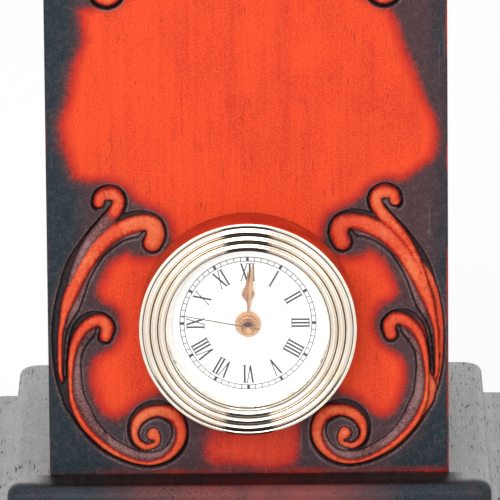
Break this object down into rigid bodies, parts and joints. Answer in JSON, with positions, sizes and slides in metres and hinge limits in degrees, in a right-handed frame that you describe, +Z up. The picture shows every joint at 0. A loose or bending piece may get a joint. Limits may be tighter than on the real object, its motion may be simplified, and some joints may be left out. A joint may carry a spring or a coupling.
{
  "type": "carved wooden clock",
  "caption": "Square wooden tower clock on a stepped base, with C-scrolls carved into its front board and a round press-in quartz capsule with gold bezel, dial and hands.",
  "frame": {"origin": "on the resting plane of the felt pads, under the middle of the base", "axes": "+Z up along the tower, the dial faces -Y, +X is to the right as seen from the front"},
  "size_m": [0.166, 0.166, 0.273],
  "materials": {
    "dark_stained_wood": "satin",
    "carved_wood": "satin airbrushed stain",
    "felt": "felt",
    "steel": "satin",
    "gold": "polished",
    "lens_glass": "clear",
    "dial_white": "satin print",
    "hand_gold": "polished rose gold",
    "black_plastic": "matte",
    "white_plastic": "matte",
    "grip_rubber": "matte",
    "contact_brass": "satin",
    "coil_copper": "lacquered copper wire",
    "circuit_green": "gloss"
  },
  "bodies": {
    "case": {"plinth_board": "dark_stained_wood", "base_board": "dark_stained_wood", "front_board": "carved_wood", "mounting_ring": "carved_wood", "left_side_board": "dark_stained_wood", "right_side_board": "dark_stained_wood", "back_board": "dark_stained_wood", "cap_board": "dark_stained_wood", "base_screw_1": "steel", "base_screw_2": "steel", "base_screw_3": "steel", "base_screw_4": "steel", "felt_pad_1": "felt", "felt_pad_2": "felt", "felt_pad_3": "felt", "felt_pad_4": "felt"},
    "capsule": {"bezel": "gold", "lens": "lens_glass", "dial": "dial_white", "capsule_cup": "black_plastic", "grip_ring": "grip_rubber", "battery": "steel", "movement_front_plate": "white_plastic", "movement_rear_plate": "white_plastic", "motor_stator": "steel", "motor_coil": "coil_copper", "circuit_board": "circuit_green", "chip_cover": "black_plastic", "quartz_crystal": "steel", "negative_contact": "contact_brass", "positive_contact": "contact_brass"},
    "cover": {"battery_cover": "black_plastic"},
    "minutes": {"minute_hand": "hand_gold", "cannon_pinion": "white_plastic"},
    "hours": {"hour_hand": "hand_gold", "hour_wheel": "white_plastic"},
    "setting": {"reverse_wheel": "white_plastic", "setting_knob": "black_plastic"},
    "seconds": {"second_hand": "hand_gold", "seconds_wheel": "white_plastic"},
    "third": {"third_wheel": "white_plastic"},
    "centre": {"centre_wheel": "white_plastic"},
    "step": {"step_wheel": "white_plastic"},
    "rotor": {"motor_rotor": "steel"}
  },
  "joints": [
    {"name": "capsule_pull_out", "type": "slide", "parent": "case", "child": "capsule", "axis": [0, -1, 0], "range_m": [0, 0.024]},
    {"name": "battery_cover_slide", "type": "slide", "parent": "capsule", "child": "cover", "axis": [1, 0, 0], "range_m": [0, 0.009]},
    {"name": "minute_turn", "type": "hinge", "parent": "capsule", "child": "minutes", "pos_m": [0, -0.06, 0.0764], "axis": [0, 1, 0], "continuous": true},
    {"name": "hour_turn", "type": "hinge", "parent": "capsule", "child": "hours", "pos_m": [0, -0.06, 0.0764], "axis": [0, 1, 0], "continuous": true},
    {"name": "setting_turn", "type": "hinge", "parent": "capsule", "child": "setting", "pos_m": [0.00624, -0.06, 0.08], "axis": [0, 1, 0], "continuous": true},
    {"name": "second_turn", "type": "hinge", "parent": "capsule", "child": "seconds", "pos_m": [0, -0.06, 0.0764], "axis": [0, 1, 0], "continuous": true},
    {"name": "third_turn", "type": "hinge", "parent": "capsule", "child": "third", "pos_m": [-0.00589, -0.06, 0.0798], "axis": [0, 1, 0], "continuous": true},
    {"name": "centre_turn", "type": "hinge", "parent": "capsule", "child": "centre", "pos_m": [0, -0.06, 0.0764], "axis": [0, 1, 0], "continuous": true},
    {"name": "step_turn", "type": "hinge", "parent": "capsule", "child": "step", "pos_m": [0.0035, -0.06, 0.07034], "axis": [0, 1, 0], "continuous": true},
    {"name": "rotor_turn", "type": "hinge", "parent": "capsule", "child": "rotor", "pos_m": [0.0097, -0.06, 0.07143], "axis": [0, 1, 0], "continuous": true}
  ],
  "couplings": [
    {"joint": "hour_turn", "follows": "minute_turn", "ratio": 0.083333},
    {"joint": "setting_turn", "follows": "minute_turn", "ratio": -0.33333},
    {"joint": "third_turn", "follows": "second_turn", "ratio": -0.13333},
    {"joint": "centre_turn", "follows": "second_turn", "ratio": 0.016667},
    {"joint": "step_turn", "follows": "second_turn", "ratio": -5},
    {"joint": "rotor_turn", "follows": "second_turn", "ratio": 30}
  ]
}
